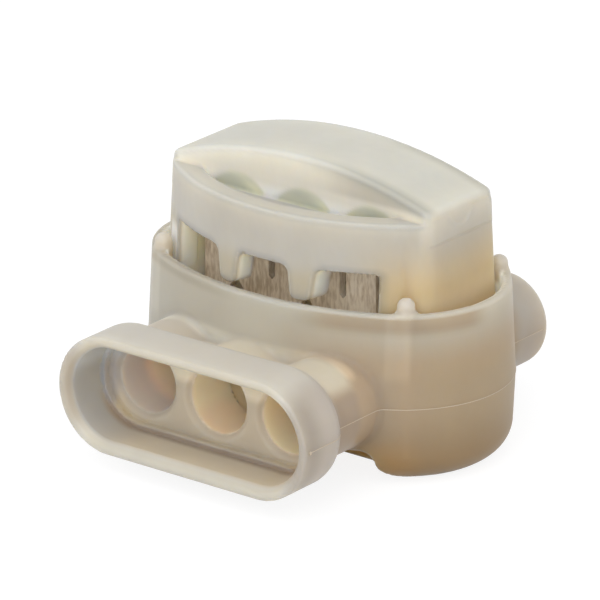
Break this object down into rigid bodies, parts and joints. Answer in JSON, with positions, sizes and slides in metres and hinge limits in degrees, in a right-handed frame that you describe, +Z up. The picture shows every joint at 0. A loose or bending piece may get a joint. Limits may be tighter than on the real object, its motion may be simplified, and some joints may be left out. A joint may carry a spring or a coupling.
{
  "type": "insulation displacement connector",
  "caption": "Translucent wire connector: oval base with a ported mouth collar and a blind nose, and a press-down cap that drives a slotted contact onto the wires.",
  "frame": {"origin": "on the resting face, under the middle of the press cap", "axes": "+X along the row of ports, -Y out of the mouth, +Z up, against the way the cap is pressed"},
  "size_m": [0.025, 0.0264, 0.0186],
  "materials": {
    "base_plastic": "satin translucent polypropylene",
    "cap_plastic": "satin translucent polypropylene",
    "contact_metal": "dull tin plating",
    "gel": "soft clear sealant"
  },
  "bodies": {
    "base": {"base_housing": "base_plastic", "sealing_gel": "gel"},
    "cap": {"press_cap": "cap_plastic", "contact_element": "contact_metal"}
  },
  "joints": [
    {"name": "cap_press", "type": "slide", "parent": "base", "child": "cap", "axis": [0, 0, -1], "range_m": [0, 0.005], "deforming": ["sealing_gel"]}
  ]
}
